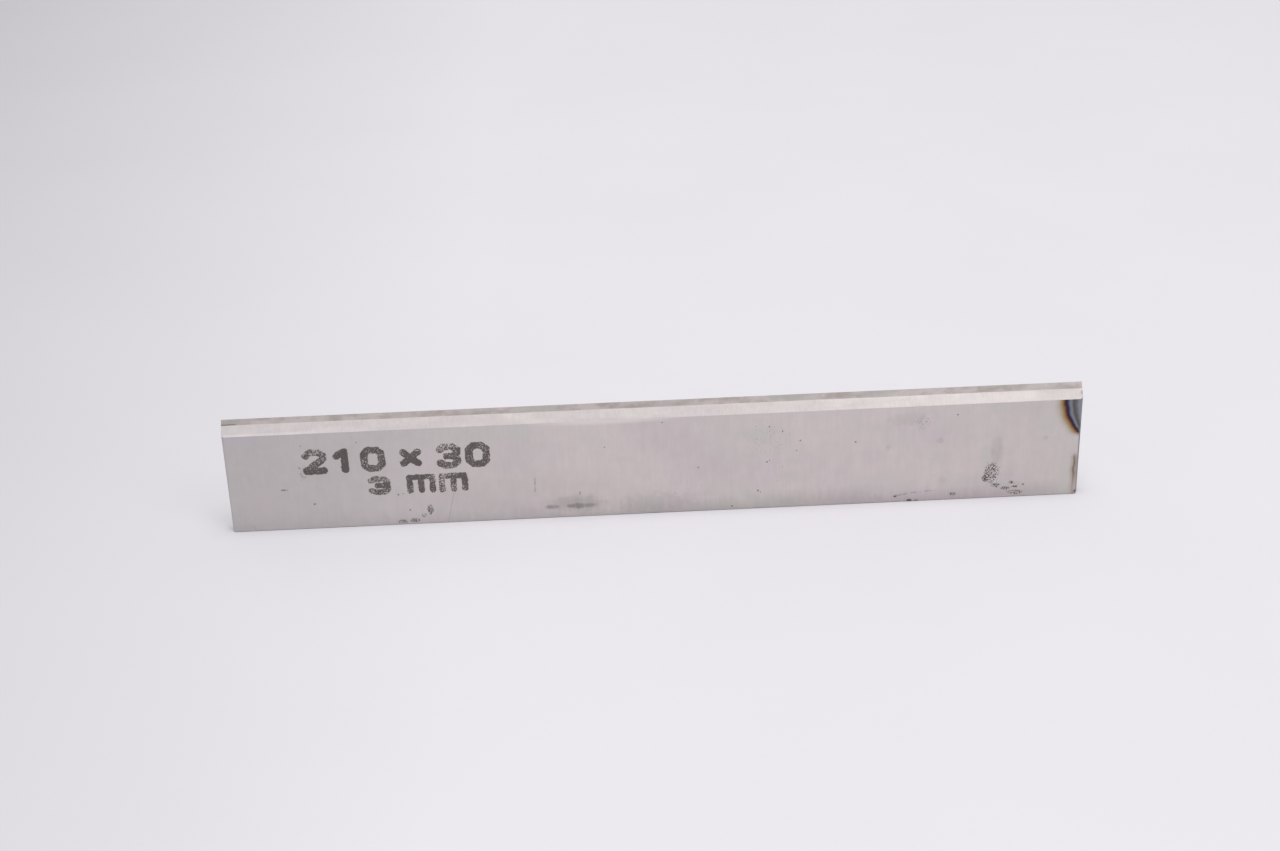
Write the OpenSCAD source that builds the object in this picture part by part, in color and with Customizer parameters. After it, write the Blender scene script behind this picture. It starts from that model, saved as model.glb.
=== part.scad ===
// Planer knife: a ground bar of tool steel with one cutting edge along its top.
// It stands on its back edge, as it stands on the floor of a cutter head's slot.
// X runs along the knife, the flat back faces +Y and the bevel side faces -Y.
// The origin is the middle of the back edge, at its lowest level.

/* [Bar] */
// Length of the knife
knife_length = 210; // [80:5:640]
// Height from the back edge to the cutting edge
knife_height = 30; // [16:0.5:50]
// Thickness between the bevel side and the flat back
knife_thickness = 3; // [2.5:0.1:5]

/* [Broken corners] */
// Height and depth of the flats along the two corners of the back edge
edge_break = 0.15; // [0.1:0.05:0.6]
// Width of the flat on the upright corner between bevel side and left end
left_break = 0.5; // [0.1:0.05:0.8]
// Width of the flat on the upright corner between bevel side and right end
right_break = 0.65; // [0.1:0.05:0.8]
// Width of the flats on the two upright corners of the flat back
back_break = 0.15; // [0.05:0.05:0.4]

/* [Cutting edge] */
// Angle between the ground bevel and the flat back
grind_angle = 40; // [30:1:44]
// Angle between the honed facet and the flat back
hone_angle = 46; // [45.5:0.5:60]
// Width of the honed facet down its slope, at the left end
left_hone = 1.55; // [0.6:0.05:1.8]
// Width of the honed facet down its slope, at the right end
right_hone = 1.75; // [0.6:0.05:1.8]

/* [Wear] */
// Radius worn on the lower corner of the right end
worn_corner = 0.8; // [0.3:0.1:3]
// Radius worn on the lower corner of the left end
left_corner = 0.3; // [0.1:0.1:3]
// Radius of the dent where the ground bevel meets the right end
dent_radius = 0.6; // [0.4:0.05:0.8]
// Depth of that dent below the corner
dent_depth = 0.3; // [0.1:0.05:0.4]

/* [Hidden] */
$fn = 48;

// How far a cutting shape runs past the metal
past = 5;

// The two ends, the bevel side and the flat back
left_x = -knife_length / 2;
right_x = knife_length / 2;
front_y = -knife_thickness / 2;
back_y = knife_thickness / 2;

// How far the ground bevel rises for each millimetre towards the back
grind_rise = 1 / tan(grind_angle);

// Where the honed facet leaves the ground bevel, at the left end
hone_start_y = back_y - left_hone * sin(hone_angle);
hone_start_z = knife_height - left_hone * cos(hone_angle);

// Level of the heel, the line where the ground bevel leaves the bevel side
heel_z = hone_start_z - (hone_start_y - front_y) * grind_rise;

// A wider facet lies lower by hone_dip for each millimetre that it goes towards
// the front, so a facet that widens along the knife is tilted by hone_tilt.
hone_dip = grind_rise * sin(hone_angle) - cos(hone_angle);
hone_tilt = atan((right_hone - left_hone) * sin(hone_angle) * hone_dip / knife_length);

// Section of the bar before honing, with its ground bevel run on to the back
module ground_section() {
    polygon([
        [front_y + edge_break, 0],
        [back_y - edge_break, 0],
        [back_y, edge_break],
        [back_y, heel_z + knife_thickness * grind_rise],
        [front_y, heel_z],
        [front_y, edge_break]
    ]);
}

module ground_bar() {
    rotate([90, 0, 90])
        linear_extrude(knife_length, center = true)
            ground_section();
}

// What a worn corner has lost: the square at the corner less its round
module corner_waste(radius) {
    difference() {
        translate([-radius, -radius])
            square(2 * radius);
        translate([-radius, radius])
            circle(radius);
    }
}

// Outline seen from the bevel side, with both lower corners worn
module front_outline() {
    difference() {
        translate([left_x, 0])
            square([knife_length, knife_height + past]);
        translate([right_x, 0])
            corner_waste(worn_corner);
        translate([left_x, 0])
            mirror([1, 0])
                corner_waste(left_corner);
    }
}

// Outline seen from above, with the upright corners of both ends broken
module top_outline() {
    polygon([
        [left_x + left_break, front_y],
        [right_x - right_break, front_y],
        [right_x, front_y + right_break],
        [right_x, back_y - back_break],
        [right_x - back_break, back_y],
        [left_x + back_break, back_y],
        [left_x, back_y - back_break],
        [left_x, front_y + left_break]
    ]);
}

// Everything above the honed facet, which starts where it leaves the ground
// bevel at the left end and turns about its own slope as it goes to the right
module hone_waste() {
    translate([left_x, hone_start_y, hone_start_z])
        rotate(a = hone_tilt, v = [0, sin(hone_angle), cos(hone_angle)])
            rotate([90 - hone_angle, 0, 0])
                translate([-past, -past, 0])
                    cube([knife_length + 2 * past, knife_thickness + 2 * past, past]);
}

// Round dent in the corner of bevel and right end, half way up the bevel
module end_dent() {
    dent_y = (front_y + hone_start_y) / 2;
    dent_z = (heel_z + hone_start_z) / 2;
    off_each_face = (dent_radius - dent_depth) / sqrt(2);
    translate([right_x, dent_y, dent_z])
        rotate([90 - grind_angle, 0, 0])
            translate([off_each_face, 0, off_each_face])
                sphere(dent_radius);
}

module planer_knife() {
    color("#B9B2B2")
        difference() {
            intersection() {
                ground_bar();
                rotate([90, 0, 0])
                    linear_extrude(knife_thickness + past, center = true)
                        front_outline();
                linear_extrude(knife_height + past)
                    top_outline();
            }
            hone_waste();
            end_dent();
        }
}

planer_knife();
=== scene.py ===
# Planer knife: the looks of one ground steel bar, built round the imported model.
# X runs along the knife, the bevel side faces -Y and the cutting edge is at the top.
# Lengths are in millimetres, and become metres where a mesh, a lamp or the camera is made.
import math

import bpy
from mathutils import Matrix, Vector, noise


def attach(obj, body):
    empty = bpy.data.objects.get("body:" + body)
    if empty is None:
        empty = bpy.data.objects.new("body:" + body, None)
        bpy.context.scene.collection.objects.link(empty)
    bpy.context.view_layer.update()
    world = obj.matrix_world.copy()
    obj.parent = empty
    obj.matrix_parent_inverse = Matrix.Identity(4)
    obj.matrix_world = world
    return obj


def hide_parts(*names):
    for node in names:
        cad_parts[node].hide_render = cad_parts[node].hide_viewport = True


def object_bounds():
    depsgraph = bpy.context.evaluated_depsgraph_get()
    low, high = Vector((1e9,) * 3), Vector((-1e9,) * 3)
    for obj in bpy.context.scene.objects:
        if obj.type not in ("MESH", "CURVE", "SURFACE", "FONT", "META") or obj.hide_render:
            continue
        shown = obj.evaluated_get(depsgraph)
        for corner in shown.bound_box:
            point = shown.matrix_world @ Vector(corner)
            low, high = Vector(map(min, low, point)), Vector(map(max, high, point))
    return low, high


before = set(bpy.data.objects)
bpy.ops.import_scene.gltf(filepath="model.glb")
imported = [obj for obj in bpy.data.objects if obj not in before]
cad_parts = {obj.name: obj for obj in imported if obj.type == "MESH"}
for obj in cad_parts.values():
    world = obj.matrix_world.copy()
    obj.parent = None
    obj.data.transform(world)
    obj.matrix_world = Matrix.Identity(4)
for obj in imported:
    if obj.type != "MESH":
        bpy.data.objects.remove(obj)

MM = 0.001
cad_low, cad_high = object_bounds()

# Driving sizes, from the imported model's box
LEFT, FRONT, BOTTOM = (value / MM for value in cad_low)
RIGHT, BACK, TOP = (value / MM for value in cad_high)
LENGTH = RIGHT - LEFT

# Ground forms of the knife, as its source has them
GRIND_ANGLE = math.radians(40)
HONE_ANGLE = math.radians(46)
LEFT_HONE = 1.55
RIGHT_HONE = 1.75
EDGE_BREAK = 0.15
BACK_BREAK = 0.15
LEFT_BREAK = 0.5
RIGHT_BREAK = 0.65
LEFT_CORNER = 0.3
WORN_CORNER = 0.8
LEFT_HONE_Y = BACK - LEFT_HONE * math.sin(HONE_ANGLE)
LEFT_HONE_Z = TOP - LEFT_HONE * math.cos(HONE_ANGLE)
HEEL = LEFT_HONE_Z - (LEFT_HONE_Y - FRONT) / math.tan(GRIND_ANGLE)

# Slow waves in the width of the honed facet: height, length and seed
HONE_WAVES = ((0.045, 7, 1.5), (0.02, 1.3, 4.5))

# Width of the heel's round, and what wear adds to it: the most at one place along the knife, and nothing
# beyond the reach on each side
HEEL_ROUND = 0.05
WORN_HEEL_ROUND = 0.4
WORN_HEEL = -9
WORN_HEEL_REACH = 17

# Rows of the mesh up the knife, and columns through its thickness
FOOT_ROWS = 6
FACE_ROWS = 41
BEVEL_ROWS = 5
FACET_ROWS = 4
COLUMNS = 6

# Height of the foot's close rows, and distances of more rows from the heel, from the honed facet's start
# and from the cutting edge
FOOT_HEIGHT = 0.3
NEAR_HEEL = (0.04, 0.09, 0.15, 0.22, 0.32)
NEAR_HONE = (0.03, 0.08)
NEAR_EDGE = 0.03


# Shape of the knife

def ripple(x, size, seed):
    """Smooth random wave along the knife, about -1 to 1."""
    return noise.noise(Vector((x / size, seed, 0.37)))


def swell(x, centre, reach):
    """1 at the centre, falling smoothly to 0 within the reach on each side."""
    t = min(1.0, abs(x - centre) / reach)
    return (1 - t * t) ** 2


def soft_max(a, b, ease):
    """The larger of a and b, with the corner between them eased over about that width."""
    overlap = max(ease - abs(a - b), 0) / ease
    return max(a, b) + overlap * overlap * ease / 4


def hone_start(x):
    """Depth and level at which the honed facet leaves the bevel: a straight taper that wanders a little."""
    width = LEFT_HONE + (RIGHT_HONE - LEFT_HONE) * (x - LEFT) / LENGTH
    width += sum(height * ripple(x, size, seed) for height, size, seed in HONE_WAVES)
    y = BACK - width * math.sin(HONE_ANGLE)
    return y, HEEL + (y - FRONT) / math.tan(GRIND_ANGLE)


def cutting_level(x):
    """Level of the cutting edge, with the fine nicks that use leaves in it and a flat too thin to see."""
    y, z = hone_start(x)
    sharp = z + (BACK - y) / math.tan(HONE_ANGLE)
    nicks = 0.02 * max(0, ripple(x, 0.9, 8.5)) + 0.05 * max(0, ripple(x, 3.1, 6.5) - 0.35)
    return min(TOP, sharp - nicks - 0.012)


def worn_level(x):
    """Level of the back edge, which rises where its two ends are worn round."""
    level = BOTTOM
    for reach, radius in ((x - LEFT, LEFT_CORNER), (RIGHT - x, WORN_CORNER)):
        if reach < radius:
            level = max(level, BOTTOM + radius - math.sqrt(radius ** 2 - (radius - reach) ** 2))
    return level


# Round dents: centre in x, y and z, and radius. The first one is in the right end's corner.
DENTS = (
    (RIGHT + 0.21, FRONT + 0.78, HEEL + 1.26, 0.6),
    (LEFT + 0.1, FRONT + 0.02, HEEL - 0.25, 0.38),
    (-61.5, FRONT - 0.16, BOTTOM + 0.05, 0.3),
    (-58.9, FRONT - 0.2, BOTTOM, 0.32),
    (62.9, FRONT - 0.1, BOTTOM - 0.05, 0.3),
    (88.7, FRONT - 0.2, BOTTOM + 0.05, 0.33),
)


def front_side(x, z):
    """Depth of the bevel side: face, bevel, facet and broken corners, with the dents."""
    wear = HEEL_ROUND + WORN_HEEL_ROUND * swell(x, WORN_HEEL, WORN_HEEL_REACH)
    y = soft_max(FRONT, FRONT + (z - HEEL) * math.tan(GRIND_ANGLE), wear)
    start_y, start_z = hone_start(x)
    y = soft_max(y, start_y + (z - start_z) * math.tan(HONE_ANGLE), 0.03)
    foot = EDGE_BREAK * (1 + 0.35 * ripple(x, 2.3, 2.5))
    y = soft_max(y, FRONT + foot - (z - worn_level(x)), 0.04)
    slack = 0.75 + 0.25 * z / HEEL
    y = soft_max(y, FRONT + LEFT_BREAK * slack - (x - LEFT), 0.05)
    y = soft_max(y, FRONT + RIGHT_BREAK * slack - (RIGHT - x), 0.05)
    for centre_x, centre_y, centre_z, radius in DENTS:
        inside = radius ** 2 - (x - centre_x) ** 2 - (z - centre_z) ** 2
        if inside > 0:
            y = max(y, centre_y + math.sqrt(inside))
    return y


def back_side(x, z):
    """Depth of the flat back, with its broken corners."""
    end = min(x - LEFT, RIGHT - x)
    foot = z - worn_level(x)
    return BACK - max(0, BACK_BREAK - end, EDGE_BREAK - foot)


def divide(start, end, count):
    """That many even values from start up to, and without, the end."""
    return [start + (end - start) * i / count for i in range(count)]


def around(level, gaps):
    """A level with others below and above it, at those distances."""
    return [level - gap for gap in reversed(gaps)] + [level] + [level + gap for gap in gaps]


def stations():
    """Places along the knife: close together at the ends and at the dents, wide apart elsewhere."""
    sections = (
        # start, step
        (LEFT, 0.05), (LEFT + 0.8, 0.15), (LEFT + 2, 0.6), (-62.5, 0.1), (-57.5, 0.6),
        (62, 0.1), (63.6, 0.6), (88, 0.1), (89.4, 0.6), (RIGHT - 3, 0.2), (RIGHT - 1.2, 0.06),
    )
    ends = [start for start, _ in sections[1:]] + [RIGHT]
    found = []
    for (start, step), end in zip(sections, ends):
        found += divide(start, end, round((end - start) / step))
    return found + [RIGHT]


def levels(x):
    """Levels of the mesh's rows at x, close together at each arris."""
    low = worn_level(x)
    start_z = hone_start(x)[1]
    high = cutting_level(x)
    rows = divide(low, low + FOOT_HEIGHT, FOOT_ROWS)
    rows += divide(low + FOOT_HEIGHT, HEEL - 0.5, FACE_ROWS)
    rows += around(HEEL, NEAR_HEEL)
    rows += divide(HEEL + 0.5, start_z - 0.1, BEVEL_ROWS)
    rows += around(start_z, NEAR_HONE)
    rows += divide(start_z + 0.2, high - NEAR_EDGE, FACET_ROWS)
    return rows + [high - NEAR_EDGE, high]


# Rows at which the heel and the honed facet's start lie
HEEL_ROW = FOOT_ROWS + FACE_ROWS + len(NEAR_HEEL)
HONE_ROW = HEEL_ROW + 1 + len(NEAR_HEEL) + BEVEL_ROWS + len(NEAR_HONE)

# Material slots of the knife, in this order. The face has its own for the part with the size mark, which
# ends at MARK_END.
MARKED_FACE, FACE, BEVEL, FACET, FLAT_BACK, SAWN = range(6)
MARK_END = -36

# Faces that meet at more than this angle are shaded with a sharp arris
SHARP_ANGLE = math.radians(24)


def between(a, b, count):
    """Points that divide the line from a to b into that many parts, without its ends."""
    return [a.lerp(b, i / count) for i in range(1, count)]


class MeshMaker:
    """Gathers points and faces, each face with its material slot."""

    def __init__(self):
        self.points = []
        self.faces = []
        self.slots = []

    def point(self, place):
        self.points.append(Vector(place))
        return len(self.points) - 1

    def face(self, corners, slot):
        self.faces.append(corners)
        self.slots.append(slot)

    def grid(self, lines, slot_of):
        """Quads between neighbouring lines of points. slot_of gives the slot for a line and a row."""
        for i, (line, following) in enumerate(zip(lines, lines[1:])):
            for j in range(len(line) - 1):
                self.face((line[j], following[j], following[j + 1], line[j + 1]), slot_of(i, j))

    def filled(self, start, end):
        """A line of points from start to end, with new ones between them."""
        a, b = self.points[start], self.points[end]
        return [start] + [self.point(p) for p in between(a, b, COLUMNS)] + [end]

    def mesh(self, name):
        mesh = bpy.data.meshes.new(name)
        mesh.from_pydata([p * MM for p in self.points], [], self.faces)
        mesh.polygons.foreach_set("material_index", self.slots)
        mesh.shade_smooth()
        mesh.set_sharp_from_angle(angle=SHARP_ANGLE)
        mesh.validate()
        return mesh


def front_slot(x, row):
    """Slot of the bevel side at x, in a row of the mesh."""
    if row < HEEL_ROW:
        return MARKED_FACE if x < MARK_END else FACE
    return BEVEL if row < HONE_ROW else FACET


def knife_mesh():
    """The whole knife as one closed mesh, with the dents, nicks and worn corners as true form."""
    maker = MeshMaker()
    places = stations()
    fronts = []
    backs = []
    soles = []
    for x in places:
        rows = levels(x)
        fronts.append([maker.point((x, front_side(x, z), z)) for z in rows])
        backs.append([maker.point((x, back_side(x, z), z)) for z in rows])
        soles.append(maker.filled(fronts[-1][0], backs[-1][0]))
    maker.grid(fronts, lambda i, j: front_slot(places[i], j))
    maker.grid([list(reversed(line)) for line in backs], lambda i, j: FLAT_BACK)
    maker.grid([list(reversed(line)) for line in soles], lambda i, j: SAWN)
    maker.grid([(front[-1], back[-1]) for front, back in zip(fronts, backs)], lambda i, j: FACET)
    for end, turned in ((0, True), (-1, False)):
        pairs = list(zip(fronts[end], backs[end]))
        rungs = [soles[end]] + [maker.filled(a, b) for a, b in pairs[1:-1]]
        last = list(pairs[-1]) + list(reversed(rungs[-1]))
        if turned:
            maker.grid([list(reversed(rung)) for rung in rungs], lambda i, j: SAWN)
            maker.face(list(reversed(last)), SAWN)
        else:
            maker.grid(rungs, lambda i, j: SAWN)
            maker.face(last, SAWN)
    return maker.mesh("planer_knife_skin")


# Patterns of the steel

# A patch is full inside the first and gone outside the second of these shares of its reach
PATCH_CORE = 0.35
PATCH_RIM = 1.15


class Finish:
    """One material, with a short call for each kind of sum that its patterns need."""

    def __init__(self, name):
        self.material = bpy.data.materials.new(name)
        self.material.use_nodes = True
        self.nodes = self.material.node_tree.nodes
        self.links = self.material.node_tree.links
        self.shader = self.nodes["Principled BSDF"]
        metres = self.nodes.new("ShaderNodeTexCoord").outputs["Object"]
        self.place = self.vector("SCALE", metres, scale=1 / MM)
        self.x, self.y, self.z = self.made("ShaderNodeSeparateXYZ", self.place).outputs
        self.flat = self.vector("MULTIPLY", self.place, (1, 0, 1))

    def plug(self, socket, value):
        if isinstance(value, bpy.types.NodeSocket):
            self.links.new(value, socket)
        else:
            socket.default_value = value

    def made(self, kind, *values):
        node = self.nodes.new(kind)
        for socket, value in zip(node.inputs, values):
            self.plug(socket, value)
        return node

    def math(self, operation, *values):
        node = self.made("ShaderNodeMath", *values)
        node.operation = operation
        return node.outputs[0]

    def vector(self, operation, *values, scale=None):
        node = self.made("ShaderNodeVectorMath", *values)
        node.operation = operation
        if scale is not None:
            self.plug(node.inputs["Scale"], scale)
        return node.outputs["Value" if operation in ("LENGTH", "DISTANCE", "DOT_PRODUCT") else "Vector"]

    def noise(self, size, seed, detail=2.0, rough=0.5):
        """Noise about 0 to 1. The size of its forms is in millimetres along x, y and z."""
        scaled = self.vector("MULTIPLY", self.place, tuple(1 / length for length in size))
        moved = self.vector("ADD", scaled, (seed * 7.3, seed * 3.1, seed * 5.7))
        node = self.made("ShaderNodeTexNoise", moved)
        node.inputs["Scale"].default_value = 1
        node.inputs["Detail"].default_value = detail
        node.inputs["Roughness"].default_value = rough
        return node.outputs[0]

    def rise(self, value, low, high):
        """0 below low, 1 above high and smooth between them. With low above high it falls."""
        node = self.made("ShaderNodeMapRange", value, low, high, 0.0, 1.0)
        node.interpolation_type = "SMOOTHSTEP"
        return node.outputs[0]

    def fade(self, value, low, high, start, end):
        """start below low, end above high and even between them."""
        return self.made("ShaderNodeMapRange", value, low, high, start, end).outputs[0]

    def times(self, *values):
        total = values[0]
        for value in values[1:]:
            total = self.math("MULTIPLY", total, value)
        return total

    def chosen(self, operation, values):
        """The values one after another, each joined to the last as soon as its nodes are there."""
        total = None
        for value in values:
            total = value if total is None else self.math(operation, total, value)
        return total

    def largest(self, values):
        return self.chosen("MAXIMUM", values)

    def smallest(self, values):
        return self.chosen("MINIMUM", values)

    def mix(self, share, a, b, blend="MIX"):
        """Colour a with that share of colour b."""
        node = self.nodes.new("ShaderNodeMix")
        node.data_type = "RGBA"
        node.blend_type = blend
        for name, value in (("Factor_Float", share), ("A_Color", a), ("B_Color", b)):
            socket = next(s for s in node.inputs if s.identifier == name)
            self.plug(socket, value if name == "Factor_Float" else rgba(value))
        return next(s for s in node.outputs if s.identifier == "Result_Color")

    def ramp(self, value, stops):
        """Colour that follows a value, from stops of place and colour."""
        node = self.made("ShaderNodeValToRGB", value)
        elements = node.color_ramp.elements
        while len(elements) < len(stops):
            elements.new(0.5)
        for element, (place, colour) in zip(elements, stops):
            element.position = place
            element.color = rgba(colour)
        return node.outputs[0]

    def off(self, centre, reach):
        """Distance from a centre in x and z, as a share of the reach in x and z."""
        away = self.vector("SUBTRACT", self.flat, (centre[0], 0, centre[1]))
        return self.vector("LENGTH", self.vector("MULTIPLY", away, (1 / reach[0], 0, 1 / reach[1])))

    def patch(self, centre, reach, share=1.0, ragged=0.0):
        """The share inside an oval, 0 outside it, with a soft and, if asked, ragged edge."""
        distance = self.off(centre, reach)
        if ragged:
            wander = self.fade(self.noise((1.6, 1.6, 1.6), 9), 0.2, 0.8, -ragged, ragged)
            distance = self.math("ADD", distance, wander)
        node = self.made("ShaderNodeMapRange", distance, PATCH_RIM, PATCH_CORE, 0.0, share)
        node.interpolation_type = "SMOOTHSTEP"
        return node.outputs[0]

    def patches(self, places):
        """The strongest of several patches, each a centre, a reach, a share and how ragged it is."""
        return self.largest(self.patch(*place) for place in places)

    def specks(self, spots, share):
        """The share inside the nearest of several small round spots given as x, z and radius."""
        nearest = self.smallest(self.off((x, z), (radius, radius)) for x, z, radius in spots)
        ragged = self.math("MULTIPLY_ADD", self.noise((0.35, 0.35, 0.35), 3), 1.2, nearest)
        return self.times(self.rise(ragged, 1.7, 1.1), share)

    def from_stroke(self, place, start, end):
        """Distance of a place from a straight stroke between two points in x and z."""
        run = Vector((end[0] - start[0], 0, end[1] - start[1]))
        away = self.vector("SUBTRACT", place, (start[0], 0, start[1]))
        share = self.vector("DOT_PRODUCT", away, run / run.length_squared)
        share = self.made("ShaderNodeClamp", share).outputs[0]
        return self.vector("DISTANCE", away, self.vector("SCALE", run, scale=share))

    def from_lines(self, place, lines):
        """Distance of a place from the nearest of several bent lines, each a run of points in x and z."""
        strokes = [pair for line in lines for pair in zip(line, line[1:])]
        return self.smallest(self.from_stroke(place, start, end) for start, end in strokes)

    def mirrored(self, centre, across, upright):
        """Place measured from a centre in x and z, and folded over it in x, in z or in both."""
        place = self.vector("SUBTRACT", self.flat, (centre[0], 0, centre[1]))
        other = self.vector("MULTIPLY", place, (-1 if across else 1, 0, -1 if upright else 1))
        return self.vector("MAXIMUM", place, other)

    def bumps(self, height, depth):
        """Bump from a height of 0 to 1 that stands for that depth in millimetres."""
        node = self.nodes.new("ShaderNodeBump")
        node.inputs["Strength"].default_value = 1.0
        node.inputs["Distance"].default_value = depth * MM
        self.plug(node.inputs["Height"], height)
        return node.outputs[0]

    def dress(self, colour, roughness, metal=1.0, height=None, depth=0.01):
        """Joins the patterns to the shader and gives the finished material."""
        self.plug(self.shader.inputs["Base Color"], rgba(colour))
        self.plug(self.shader.inputs["Roughness"], roughness)
        self.plug(self.shader.inputs["Metallic"], metal)
        if height is not None:
            self.plug(self.shader.inputs["Normal"], self.bumps(height, depth))
        return self.material


def rgba(colour):
    """A colour as four numbers, or a socket as it is."""
    if isinstance(colour, bpy.types.NodeSocket) or len(colour) == 4:
        return colour
    return (*colour, 1.0)


# Generic size mark, etched: the knife's own length, height and thickness in plain strokes

# Each sign has its strokes in a box one high and one wide, or wider for the m, measured from the box's
# middle. A sign that is the same left and right, or top and bottom, has one side drawn, which is mirrored.
SIGNS = {
    "0": (True, True, [[(0, 0.5), (0.25, 0.5), (0.5, 0.3), (0.5, 0)]]),
    "1": (False, False, [[(-0.4, 0.26), (0.05, 0.5), (0.05, -0.5)]]),
    "2": (False, False, [[(-0.5, 0.32), (-0.26, 0.5), (0.26, 0.5), (0.5, 0.32), (0.5, 0.14), (-0.5, -0.5),
                          (0.5, -0.5)]]),
    "3": (False, True, [[(-0.1, 0), (0.22, 0), (0.5, 0.15), (0.5, 0.33), (0.26, 0.5), (-0.26, 0.5),
                         (-0.5, 0.36)]]),
    "x": (True, True, [[(0, 0), (0.42, 0.3)]]),
    "m": (True, False, [[(0, -0.5), (0, 0.5), (0.72, 0.5), (0.72, -0.5)]]),
}
MARK_LINES = (
    # text, middle of the first sign, level of the signs' middles, width and height of a sign, pitch, stroke
    ("210 x 30", -83.2, 18.8, 4.2, 5.1, 7.1, 1.85),
    ("3 mm", -68.0, 11.4, 3.9, 3.7, 7.9, 1.55),
)
SPACE = 0.3


def from_mark(finish):
    """Distance in millimetres from the edge of the size mark's strokes, less than 0 inside them."""
    rows = []
    for text, x, z, width, height, pitch, stroke in MARK_LINES:
        distances = []
        for sign in text:
            if sign == " ":
                x += pitch * (SPACE - 1)
            else:
                across, upright, lines = SIGNS[sign]
                place = finish.mirrored((x, z), across, upright)
                drawn = [[(u * width, v * height) for u, v in line] for line in lines]
                distances.append(finish.from_lines(place, drawn))
            x += pitch
        rows.append(finish.math("SUBTRACT", finish.smallest(distances), stroke / 2))
    return finish.smallest(rows)


# Finishes

STEEL_PINK = (0.675, 0.616, 0.60)
STEEL_MAUVE = (0.635, 0.577, 0.577)
STEEL_GREEN = (0.61, 0.59, 0.562)
STEEL_LEFT = (0.59, 0.57, 0.562)
LEFT_PINK = (0.60, 0.55, 0.543)
LEFT_MAUVE = (0.59, 0.54, 0.57)
# Painted shade on the flats of the broken upright corners
CORNER_SHADE = (0.22, 0.22, 0.235)
DARK_OXIDE = (0.055, 0.036, 0.03)
# Dark colour of stains and scratches, also used for painted shade in a dent
STAIN_AND_SHADE = (0.15, 0.15, 0.14)
ETCH = (0.092, 0.078, 0.072)
BEVEL_STEEL_AND_SHEEN = (0.83, 0.768, 0.735)
BEVEL_COLD = (0.72, 0.69, 0.675)
BEVEL_WARM = (0.82, 0.79, 0.735)
BEVEL_GLINT = (0.93, 0.87, 0.86)
FACET_LIGHT = (0.605, 0.55, 0.525)
FACET_BROWN = (0.47, 0.42, 0.385)
FACET_COLD = (0.515, 0.505, 0.47)
SAWN_DARK = (0.40, 0.365, 0.36)
SAWN_LIGHT = (0.56, 0.52, 0.52)
RUST = (0.16, 0.12, 0.10)


def grain(finish, along, across):
    """Fine marks of grinding, as noise drawn out up the knife, about 0 to 1."""
    coarse = finish.noise((across * 3, 1, along * 2), 11, detail=3)
    fine = finish.noise((across, 1, along), 12, detail=3, rough=0.6)
    return finish.math("MULTIPLY_ADD", coarse, 0.5, finish.times(fine, 0.5))


def steel_colour(finish):
    """Pinkish grey of the ground steel, with broad faint patches of mauve and green."""
    wide = finish.noise((34, 10, 17), 1, detail=2)
    colour = finish.mix(finish.rise(wide, 0.4, 0.68), STEEL_PINK, STEEL_MAUVE)
    green = finish.noise((26, 10, 12), 2, detail=3)
    return finish.mix(finish.times(finish.rise(green, 0.5, 0.72), 0.7), colour, STEEL_GREEN)


def shade(finish, colour, factor):
    """The colour times a plain factor."""
    return finish.mix(1.0, colour, finish.made("ShaderNodeCombineColor", factor, factor, factor).outputs[0],
                      blend="MULTIPLY")


# Where heat has run into the steel: the edge of the tint is that far from the right end at the heel and
# bends over to meet that end lower down. The bands follow it, each that far to the right of it.
HEAT_WIDTH = 4.1
HEAT_HEIGHT = 9.9
HEAT_BANDS = (
    (-3.0, (0.57, 0.555, 0.50)),
    (-1.9, (0.53, 0.465, 0.38)),
    (-1.2, (0.42, 0.31, 0.19)),
    (-0.75, (0.29, 0.17, 0.075)),
    (-0.4, (0.13, 0.06, 0.035)),
    (-0.05, (0.055, 0.024, 0.038)),
    (0.4, (0.065, 0.05, 0.10)),
    (0.8, (0.16, 0.20, 0.27)),
    (1.25, (0.25, 0.255, 0.27)),
    (1.85, (0.12, 0.108, 0.104)),
    (2.5, (0.145, 0.15, 0.17)),
    (3.2, (0.27, 0.28, 0.30)),
)
HEAT_START = -3.8
HEAT_FULL = -1.5
HEAT_END = 4.2

# Levels between which the same bands run up the right end
END_TINT_LOW = 15.4
END_TINT_HIGH = 21.5


def heat_bands(finish, colour, inward, here):
    """Colour with the bands of heat. inward is how far a place is past the tint's edge, in millimetres."""
    share = finish.fade(inward, HEAT_START, HEAT_END, 0.0, 1.0)
    stops = [((place - HEAT_START) / (HEAT_END - HEAT_START), tone) for place, tone in HEAT_BANDS]
    bands = finish.ramp(share, stops)
    return finish.mix(finish.times(finish.rise(inward, HEAT_START, HEAT_FULL), here), colour, bands)


def heat_tint(finish, colour):
    """Colour with the tint that heat leaves in both faces near the upper right corner."""
    down = finish.fade(finish.z, HEEL, HEEL - HEAT_HEIGHT, 0.0, 1.0)
    square = finish.times(down, down)
    width = finish.math("MULTIPLY_ADD", square, -HEAT_WIDTH, HEAT_WIDTH - RIGHT)
    inward = finish.math("ADD", finish.x, width)
    squeezed = finish.times(inward, finish.math("MULTIPLY_ADD", square, 0.9, 1.0))
    inward = finish.math("MAXIMUM", inward, squeezed)
    wander = finish.noise((1.8, 1.8, 1.8), 5, detail=3)
    inward = finish.math("ADD", inward, finish.fade(wander, 0.2, 0.8, -0.18, 0.18))
    return heat_bands(finish, colour, inward, finish.rise(finish.z, 16.0, 17.8))


def end_tint(finish, colour):
    """Colour with the same tint in the right end, where its bands run level across the thickness."""
    wander = finish.noise((2.5, 1.3, 1.6), 63, detail=3)
    level = finish.math("ADD", finish.z, finish.fade(wander, 0.25, 0.75, -0.9, 0.9))
    inward = finish.fade(level, END_TINT_LOW, END_TINT_HIGH, HEAT_START, HEAT_END)
    return heat_bands(finish, colour, inward, finish.times(finish.rise(finish.x, 100, 101), 0.85))


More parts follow.
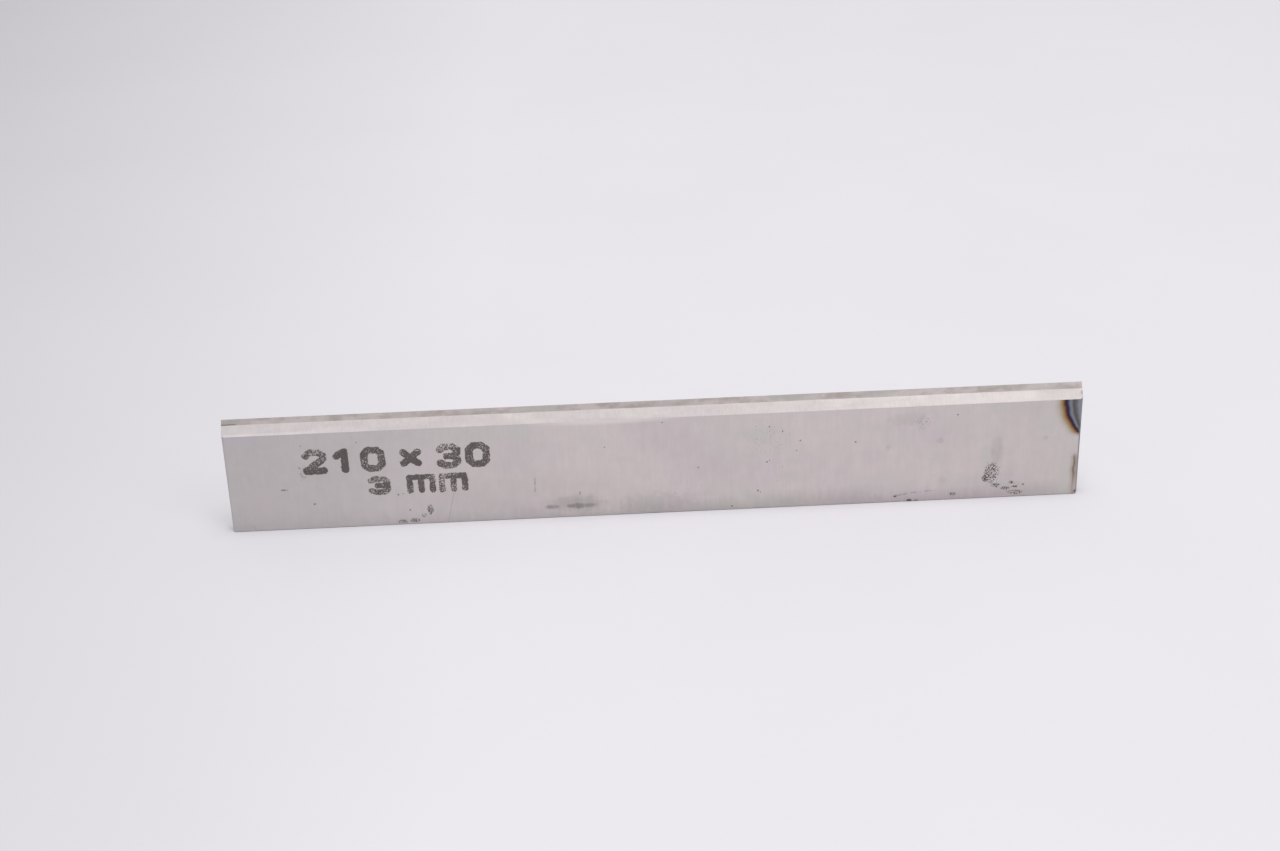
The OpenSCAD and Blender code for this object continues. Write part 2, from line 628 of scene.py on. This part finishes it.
# The brown line beside the right end runs between these two places along the knife. Its tones go from the
# first place to the second.
SCORCH_START = 102.4
SCORCH_END = 104.6
SCORCH_TONES = (
    (0.0, (0.57, 0.54, 0.49)),
    (0.45, (0.49, 0.43, 0.35)),
    (0.64, (0.21, 0.15, 0.11)),
    (0.8, (0.40, 0.34, 0.31)),
    (1.0, (0.45, 0.41, 0.39)),
)


def scorched_strip(finish, colour):
    """Colour with the brown line beside the right end, below the heat tint."""
    wander = finish.noise((3, 3, 3), 17, detail=2)
    across = finish.math("ADD", finish.x, finish.fade(wander, 0.2, 0.8, -0.3, 0.3))
    share = finish.fade(across, SCORCH_START, SCORCH_END, 0.0, 1.0)
    tones = finish.ramp(share, SCORCH_TONES)
    here = finish.times(finish.rise(share, 0.0, 0.35), finish.rise(finish.z, 12.2, 10.2))
    return finish.mix(finish.times(here, finish.fade(finish.z, 2.5, 6.0, 0.5, 0.95)), colour, tones)


def painted_corner_shade(finish, colour, edge, inner, share):
    """Colour with painted shade on the flat of a broken upright corner, from its inner side to the edge."""
    return finish.mix(finish.times(finish.rise(finish.x, inner, edge), share), colour, CORNER_SHADE)


def ground_face(finish):
    """Colour of the bare bevel side, with painted shade at its ends and foot, and the pattern of its
    grinding marks.
    """
    colour = finish.mix(finish.fade(finish.x, -100, -20, 0.75, 0.0), steel_colour(finish), STEEL_LEFT)
    # Painted shade: the face is darker towards the left end and a little towards the right end, where less
    # light falls
    left = finish.fade(finish.x, LEFT, -25, 0.94, 1.0)
    right = finish.fade(finish.x, 60, RIGHT, 1.0, 0.95)
    # Painted shade along the foot, where it mirrors the floor in the knife's shade: darker, least so near
    # the two ends, with a ragged upper edge
    band = finish.noise((26, 1, 40), 8, detail=3)
    band = finish.math("ADD", finish.z, finish.fade(band, 0.25, 0.75, -2.6, 2.6))
    ticks = finish.fade(finish.noise((1.1, 1, 9), 15, detail=3), 0.3, 0.7, -0.8, 0.8)
    least = finish.fade(finish.x, -95, -25, 0.98, 0.84)
    least = finish.math("ADD", least, finish.fade(finish.x, 78, RIGHT, 0.0, 0.13))
    foot = finish.fade(finish.math("ADD", band, ticks), 1.2, 4.8, least, 1.0)
    hazy = finish.math("SUBTRACT", 1.0, finish.patch((-32, 7), (32, 8), 0.05))
    grains = grain(finish, 5, 0.5)
    mottle = finish.noise((3.2, 1, 3.2), 14, detail=4, rough=0.6)
    light = finish.times(left, right, foot, hazy, finish.fade(grains, 0.3, 0.7, 0.96, 1.04),
                         finish.fade(mottle, 0.3, 0.7, 0.975, 1.025))
    return shade(finish, colour, light), grains


def dress_face(finish, colour, grains, dull):
    """The face's finished material. It is rough and less like bare metal where it is dull."""
    roughness = finish.math("ADD", finish.fade(grains, 0.3, 0.7, 0.4, 0.5), finish.times(dull, 0.2))
    metal = finish.math("SUBTRACT", 1.0, finish.times(dull, 0.75))
    return finish.dress(colour, roughness, metal, grains, 0.006)


def pitted(finish, where):
    """Up to 1 in small ragged pits and round the rims of wider ones, the more the nearer where is to 1."""
    cells = finish.noise((0.42, 0.42, 0.36), 6, detail=3, rough=0.6)
    pits = finish.rise(finish.math("MULTIPLY_ADD", where, 0.31, cells), 0.72, 0.77)
    pits = finish.times(pits, finish.fade(where, 0.3, 0.65, 0.5, 1.0))
    wide = finish.noise((1.1, 1.1, 0.9), 16, detail=2)
    off_rim = finish.math("ABSOLUTE", finish.math("SUBTRACT", wide, 0.5))
    rims = finish.times(finish.rise(off_rim, 0.045, 0.015), finish.rise(where, 0.4, 0.75), 0.75)
    return finish.math("MAXIMUM", pits, rims)


# Marks of use and age, at their places in x and z. Specks have x, z and radius, and scratches are runs of
# points. Pits, stains and patches have centre, reach, share and, in some, how ragged the edge is.
MARK_SPECKS = (
    (-86.2, 23.4, 0.2), (-85.2, 20.6, 0.24), (-87.1, 17.3, 0.26), (-72.7, 23.7, 0.2), (-91.9, 11.3, 0.26),
    (-91.5, 11.3, 0.28), (-91.1, 11.3, 0.25), (-90.6, 11.3, 0.16), (-84.3, 7.0, 0.33), (-61.0, 4.1, 0.28),
    (-63.6, 8.6, 0.3), (-62.4, 8.8, 0.2),
)
MARK_SCRATCHES = (
    ((-49.9, 8.4), (-50.9, 4.2), (-51.8, 0.2)),
)
MAUVE_PATCHES = (
    ((-101.3, 25.7), (5.5, 1.5), 0.6, 0.4), ((-104.3, 24.0), (1.3, 3.4), 0.5, 0.3),
)
MARK_PITS = (
    ((-56.0, 3.9), (1.2, 2.1), 0.92), ((-57.6, 2.4), (1.2, 0.9), 0.72),
    ((-63.0, 0.9), (1.9, 0.9), 0.8), ((-60.0, 1.1), (1.9, 0.9), 0.84),
    ((-86.2, 16.0), (2.0, 3.4), 0.55), ((-101.2, 1.3), (4.4, 1.0), 0.45),
)


def marked_face_finish():
    """The left part of the bevel side, with the size mark."""
    finish = Finish("marked_face")
    colour, grains = ground_face(finish)
    # Painted shade on the flat of the broken left corner
    colour = painted_corner_shade(finish, colour, LEFT + 0.05, LEFT + LEFT_BREAK, 0.25)
    scratch = finish.rise(finish.from_lines(finish.flat, MARK_SCRATCHES), 0.2, 0.04)
    colour = finish.mix(finish.times(scratch, 0.2), colour, STAIN_AND_SHADE)
    warm = finish.patch((-96.7, 8.0), (7.8, 6.5), 0.55, 0.4)
    colour = finish.mix(warm, colour, LEFT_PINK)
    colour = finish.mix(finish.patches(MAUVE_PATCHES), colour, LEFT_MAUVE)
    etch = etched(finish)
    colour = finish.mix(finish.times(etch, 0.93), colour, ETCH)
    pits = finish.largest((pitted(finish, finish.patches(MARK_PITS)), finish.specks(MARK_SPECKS, 0.85)))
    colour = finish.mix(finish.times(pits, 0.75), colour, DARK_OXIDE)
    return dress_face(finish, colour, grains, finish.largest((pits, finish.times(etch, 0.75))))


def etched(finish):
    """1 where the size mark is etched, with ragged edges and bare grains in its strokes."""
    worn = finish.noise((0.8, 1, 0.8), 21, detail=4, rough=0.65)
    distance = finish.math("ADD", from_mark(finish), finish.fade(worn, 0.25, 0.75, -0.22, 0.22))
    inside = finish.rise(distance, 0.08, -0.08)
    bare = finish.noise((0.3, 1, 0.3), 22, detail=2)
    region = finish.noise((8, 1, 5), 23, detail=2)
    bare = finish.math("MULTIPLY_ADD", region, 0.55, bare)
    return finish.times(inside, finish.rise(bare, 1.03, 0.79))


SPECKS = (
    (-12.4, 19.3, 0.2), (-18.9, 6.9, 0.25), (-18.9, 6.4, 0.2), (1.9, 25.4, 0.22), (10.5, 12.4, 0.25),
    (18.7, 1.0, 0.26), (25.2, 5.1, 0.3), (25.8, 4.7, 0.2), (27.5, 13.1, 0.26), (28.1, 13.5, 0.2),
    (28.1, 23.0, 0.22), (31.3, 21.5, 0.25), (35.7, 18.7, 0.26), (34.8, 15.9, 0.2), (49.3, 17.6, 0.28),
    (74.3, 23.9, 0.26), (91.4, 3.4, 0.34), (104.5, 0.8, 0.5), (104.1, 18.5, 0.42),
)
SCRATCHES = (
    ((-29.8, 11.5), (-30.0, 6.7)),
    ((59.2, 1.7), (63.5, 2.5), (69.4, 2.9)),
    ((81.3, 5.0), (83.6, 4.2), (85.6, 3.0)),
)
PITS = (
    ((81.7, 5.7), (1.1, 1.5), 0.95), ((83.3, 7.2), (2.9, 4.6), 0.72), ((84.5, 3.5), (1.8, 1.0), 0.78),
    ((87.0, 2.6), (2.0, 0.8), 0.74), ((88.4, 4.2), (0.9, 0.7), 0.82), ((89.3, 2.9), (1.2, 0.5), 0.84),
    ((89.6, 3.8), (2.4, 1.6), 0.45), ((89.5, 1.4), (3.1, 1.1), 0.68),
    ((63.0, 0.3), (1.0, 0.6), 1.0), ((64.7, 0.2), (0.9, 0.4), 0.9), ((59.4, 1.7), (0.6, 0.6), 0.9),
    ((73.8, 1.6), (1.4, 0.7), 0.7), ((28.0, 19.5), (10.5, 7.5), 0.35), ((30.0, 10.0), (6.0, 6.0), 0.3),
    ((65.8, 22.0), (3.0, 3.8), 0.46), ((6.0, 7.0), (8.0, 5.0), 0.3),
)
STAINS = (
    ((-18.9, 3.1), (4.9, 1.0), 0.62, 0.25), ((-25.8, 3.1), (2.3, 0.8), 0.48, 0.25),
    ((-19.5, 3.9), (8.0, 2.6), 0.28, 0.25), ((0.0, 3.2), (12.0, 3.0), 0.14, 0.4),
    ((84.5, 13.2), (1.9, 5.0), 0.17, 0.3), ((62.0, 23.3), (5.5, 2.2), 0.13, 0.4),
    ((70.2, 17.0), (1.1, 1.0), 0.15, 0.5), ((57.5, 15.7), (0.8, 0.7), 0.12, 0.5),
    ((96.3, 16.4), (0.8, 0.7), 0.12, 0.5), ((70.9, 5.9), (1.5, 1.3), 0.08, 0.5),
)
GREEN_PATCHES = (
    ((101.6, 5.0), (1.8, 6.5), 0.8, 0.4), ((97.0, 20.5), (3.6, 3.4), 0.7, 0.4),
    ((86.0, 25.0), (6.0, 2.4), 0.5, 0.5), ((75.0, 22.0), (6.5, 4.0), 0.45, 0.5),
    ((-33.5, 24.0), (5.0, 3.0), 0.6, 0.5), ((56.0, 5.0), (9.0, 4.0), 0.5, 0.5),
    ((81.8, 12.0), (2.0, 4.6), 0.8, 0.3),
)


def face_finish():
    """The rest of the bevel side below the heel."""
    finish = Finish("ground_face")
    colour, grains = ground_face(finish)
    colour = finish.mix(finish.patches(GREEN_PATCHES), colour, STEEL_GREEN)
    # Where the heel is worn round, the face takes the bevel's lighter steel with its painted sheen
    rubbed = finish.patch((-12, HEEL + 0.2), (20, 1.5), 0.7)
    colour = finish.mix(rubbed, colour, BEVEL_STEEL_AND_SHEEN)
    ticks = finish.fade(finish.noise((0.7, 1, 6), 7, detail=3), 0.3, 0.7, 0.75, 1.2)
    colour = finish.mix(finish.times(finish.patches(STAINS), ticks), colour, STAIN_AND_SHADE)
    colour = scorched_strip(finish, colour)
    colour = heat_tint(finish, colour)
    # Painted shade on the flat of the broken right corner: less of it low down, none in the heat tint
    below_tint = finish.rise(finish.z, 20.0, 17.5)
    corner_shade_share = finish.times(finish.fade(finish.z, 8.0, 13.0, 0.6, 0.8), below_tint)
    colour = painted_corner_shade(finish, colour, RIGHT - 0.25, RIGHT - RIGHT_BREAK, corner_shade_share)
    broken = finish.noise((1.2, 1, 1.2), 13, detail=3)
    scratch = finish.rise(finish.from_lines(finish.flat, SCRATCHES), 0.3, 0.05)
    scratch = finish.times(scratch, finish.rise(broken, 0.4, 0.6))
    colour = finish.mix(finish.times(scratch, 0.42), colour, STAIN_AND_SHADE)
    pits = finish.largest((pitted(finish, finish.patches(PITS)), finish.specks(SPECKS, 0.75)))
    colour = finish.mix(finish.times(pits, 0.93), colour, DARK_OXIDE)
    return dress_face(finish, colour, grains, pits)


def bevel_finish():
    """The ground bevel: fresh steel, in a lighter colour that also holds painted light for its upward
    slope.
    """
    finish = Finish("ground_bevel")
    # Partly painted light: the bevel's steel is lighter than the face's, for the light its upward slope
    # catches
    colour = finish.mix(0.7, steel_colour(finish), BEVEL_STEEL_AND_SHEEN)
    rubbed = finish.patch((-12, HEEL), (16, 0.8), 0.25)
    colour = finish.mix(rubbed, colour, STEEL_MAUVE)
    cold = finish.noise((6, 3, 3), 32, detail=2)
    cold = finish.times(finish.rise(finish.x, -86, -94), finish.rise(cold, 0.35, 0.6), 0.8)
    colour = finish.mix(cold, colour, BEVEL_COLD)
    warm = finish.noise((13, 4, 4), 33, detail=3)
    colour = finish.mix(finish.times(finish.rise(warm, 0.5, 0.66), 0.7), colour, BEVEL_WARM)
    # Painted shade in the dent at the right end of the bevel
    painted_dent_shade = finish.patch((RIGHT - 0.1, HEEL + 1.35), (0.5, 0.45), 0.4)
    colour = finish.mix(painted_dent_shade, colour, STAIN_AND_SHADE)
    low = finish.rise(finish.z, HEEL + 0.6, HEEL + 0.3)
    glint = finish.times(finish.rise(finish.x, -80, -90), low, 0.5)
    colour = finish.mix(glint, colour, BEVEL_GLINT)
    grains = grain(finish, 3, 0.22)
    patches = finish.noise((7, 2, 2), 31, detail=3)
    # Painted shade: the bevel is darker near the right end, where the lamps' reflection falls off
    right = finish.fade(finish.x, 92, 95, 1.0, 0.89)
    light = finish.times(right, finish.fade(grains, 0.3, 0.7, 0.93, 1.07),
                         finish.fade(patches, 0.3, 0.7, 0.955, 1.045))
    colour = shade(finish, colour, light)
    roughness = finish.fade(grains, 0.3, 0.7, 0.34, 0.44)
    return finish.dress(colour, roughness, 1.0, grains, 0.006)


def facet_finish():
    """The honed facet, stained brown and grey in blotches by use."""
    finish = Finish("honed_facet")
    blotches = finish.noise((5, 2.5, 2.5), 41, detail=4, rough=0.6)
    colour = finish.mix(finish.rise(blotches, 0.38, 0.66), FACET_LIGHT, FACET_BROWN)
    cold = finish.noise((9, 3, 3), 42, detail=3)
    colour = finish.mix(finish.times(finish.rise(cold, 0.5, 0.64), 0.8), colour, FACET_COLD)
    near_end = finish.rise(finish.x, -100.8, -102.3)
    dark_line = finish.times(near_end, finish.rise(finish.z, LEFT_HONE_Z + 0.26, LEFT_HONE_Z + 0.1), 0.75)
    colour = finish.mix(dark_line, colour, STAIN_AND_SHADE)
    grains = grain(finish, 2, 0.3)
    colour = shade(finish, colour, finish.fade(grains, 0.3, 0.7, 0.95, 1.05))
    roughness = finish.fade(blotches, 0.3, 0.7, 0.42, 0.55)
    return finish.dress(colour, roughness, 1.0, grains, 0.004)


BACK_STAINS = (
    ((-52, 4.0), (15, 2.4), 0.2, 0.5), ((34, 7.0), (12, 4.0), 0.13, 0.5), ((88, 12.0), (6, 5.0), 0.13, 0.5),
)
BACK_PITS = (
    ((-71, 3.5), (3.6, 2.4), 0.76, 0.5), ((-30, 8.0), (9.0, 6.0), 0.32, 0.5),
    ((42, 1.7), (5.0, 1.7), 0.78, 0.5), ((90, 8.5), (2.6, 3.6), 0.76, 0.5),
)


def back_finish():
    """The flat back, ground lengthways, with some stains and pits like those of the other side."""
    finish = Finish("flat_back")
    colour = steel_colour(finish)
    lines = finish.noise((40, 1, 0.35), 51, detail=4, rough=0.6)
    colour = shade(finish, colour, finish.fade(lines, 0.3, 0.7, 0.93, 1.05))
    foot = finish.times(finish.rise(finish.z, 6, 0), finish.noise((3, 1, 3), 52, detail=3))
    colour = finish.mix(finish.times(foot, 0.3), colour, STAIN_AND_SHADE)
    colour = finish.mix(finish.patches(BACK_STAINS), colour, STAIN_AND_SHADE)
    colour = heat_tint(finish, colour)
    pits = pitted(finish, finish.patches(BACK_PITS))
    colour = finish.mix(finish.times(pits, 0.8), colour, DARK_OXIDE)
    roughness = finish.math("ADD", finish.fade(lines, 0.3, 0.7, 0.36, 0.46), finish.times(pits, 0.2))
    metal = finish.math("SUBTRACT", 1.0, finish.times(pits, 0.75))
    return finish.dress(colour, roughness, metal, lines, 0.006)


def sawn_finish():
    """The back edge and the two ends, cut off and left rougher and darker."""
    finish = Finish("sawn_ends")
    lines = finish.noise((0.5, 0.5, 3), 61, detail=3, rough=0.6)
    colour = finish.mix(lines, SAWN_DARK, SAWN_LIGHT)
    spots = finish.rise(finish.noise((0.8, 0.8, 0.8), 62, detail=3), 0.62, 0.74)
    colour = finish.mix(finish.times(spots, 0.7), colour, RUST)
    colour = shade(finish, end_tint(finish, colour), finish.fade(lines, 0.3, 0.7, 0.92, 1.08))
    metal = finish.math("SUBTRACT", 1.0, finish.times(spots, 0.6))
    return finish.dress(colour, finish.fade(lines, 0.3, 0.7, 0.42, 0.56), metal, lines, 0.012)


def make_knife():
    """The knife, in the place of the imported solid."""
    knife = bpy.data.objects.new("planer_knife_skin", knife_mesh())
    bpy.context.scene.collection.objects.link(knife)
    for finish in (marked_face_finish, face_finish, bevel_finish, facet_finish, back_finish, sawn_finish):
        knife.data.materials.append(finish())
    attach(knife, "root")
    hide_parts("planer_knife")
    return knife


# Floor, light and camera

PAPER = (0.80, 0.785, 0.825)
FLOOR_SIZE = 8000.0
# Gap between knife and floor, so that the two faces don't lie in one plane
FLOOR_GAP = 0.02


def make_floor():
    """A wide pale sheet that the knife stands on."""
    maker = MeshMaker()
    half = FLOOR_SIZE / 2
    corners = ((-half, -half), (half, -half), (half, half), (-half, half))
    maker.face([maker.point((x, y, BOTTOM - FLOOR_GAP)) for x, y in corners], 0)
    floor = bpy.data.objects.new("floor", maker.mesh("floor"))
    bpy.context.scene.collection.objects.link(floor)
    finish = Finish("paper")
    mottle = finish.noise((60, 60, 60), 71, detail=3)
    # Painted shade: the paper is darker towards the left, where less light falls
    dim = finish.fade(finish.x, -300, -50, 0.7, 1.0)
    light = finish.times(dim, finish.fade(mottle, 0.3, 0.7, 0.985, 1.0))
    floor.data.materials.append(finish.dress(shade(finish, PAPER, light), 0.9, 0.0))


# Strength of the room's light on rough things. What the camera and the steel see of it has strength 1.
ROOM_LIGHT = 0.5


def make_world():
    """Even pale light from all round. The camera and the steel see the pale paper colour itself."""
    world = bpy.data.worlds.new("room")
    bpy.context.scene.world = world
    world.use_nodes = True
    nodes = world.node_tree.nodes
    links = world.node_tree.links
    seen = nodes["Background"]
    seen.inputs["Color"].default_value = rgba(PAPER)
    seen.inputs["Strength"].default_value = 1.0
    lit = nodes.new("ShaderNodeBackground")
    lit.inputs["Color"].default_value = (1, 1, 1, 1)
    lit.inputs["Strength"].default_value = ROOM_LIGHT
    path = nodes.new("ShaderNodeLightPath")
    shown = path.outputs["Is Camera Ray"]
    for name in ("Is Glossy Ray", "Is Transmission Ray"):
        either = nodes.new("ShaderNodeMath")
        either.operation = "MAXIMUM"
        links.new(shown, either.inputs[0])
        links.new(path.outputs[name], either.inputs[1])
        shown = either.outputs[0]
    mixer = nodes.new("ShaderNodeMixShader")
    links.new(shown, mixer.inputs[0])
    links.new(lit.outputs[0], mixer.inputs[1])
    links.new(seen.outputs[0], mixer.inputs[2])
    links.new(mixer.outputs[0], nodes["World Output"].inputs["Surface"])


def make_softbox(name, place, size, power, mirrored=True):
    """A square lamp that faces the knife. Its power is in watts. The steel shows it only if mirrored."""
    light = bpy.data.lights.new(name, "AREA")
    light.shape = "SQUARE"
    light.size = size * MM
    light.energy = power
    lamp = bpy.data.objects.new(name, light)
    bpy.context.scene.collection.objects.link(lamp)
    lamp.location = Vector(place) * MM
    lamp.rotation_mode = "QUATERNION"
    lamp.rotation_quaternion = (-lamp.location).to_track_quat("-Z", "Y")
    lamp.visible_glossy = mirrored


# The camera that fits the photograph's edges of the knife
CAMERA_PLACE = (-15.552, -471.041, 275.804)
CAMERA_PITCH = -28.115
CAMERA_YAW = -1.47
CAMERA_ROLL = -1.884
CAMERA_LENS = 61.51
SENSOR = 36.0


def make_camera():
    data = bpy.data.cameras.new("camera")
    data.lens = CAMERA_LENS
    data.sensor_width = SENSOR
    data.clip_start = 0.01
    data.clip_end = 20
    camera = bpy.data.objects.new("camera", data)
    bpy.context.scene.collection.objects.link(camera)
    level = Matrix.Rotation(math.radians(CAMERA_YAW), 3, "Z")
    tilted = level @ Matrix.Rotation(math.radians(90 + CAMERA_PITCH), 3, "X")
    turned = tilted @ Matrix.Rotation(math.radians(CAMERA_ROLL), 3, "Z")
    camera.rotation_mode = "QUATERNION"
    camera.rotation_quaternion = turned.to_quaternion()
    camera.location = Vector(CAMERA_PLACE) * MM
    bpy.context.scene.camera = camera


make_camera()
make_knife()
make_floor()
make_world()
make_softbox("key", place=(60, -300, 2100), size=1200, power=25, mirrored=False)
make_softbox("side", place=(1100, -1150, 1500), size=900, power=3)
bpy.context.scene.view_settings.view_transform = "Standard"
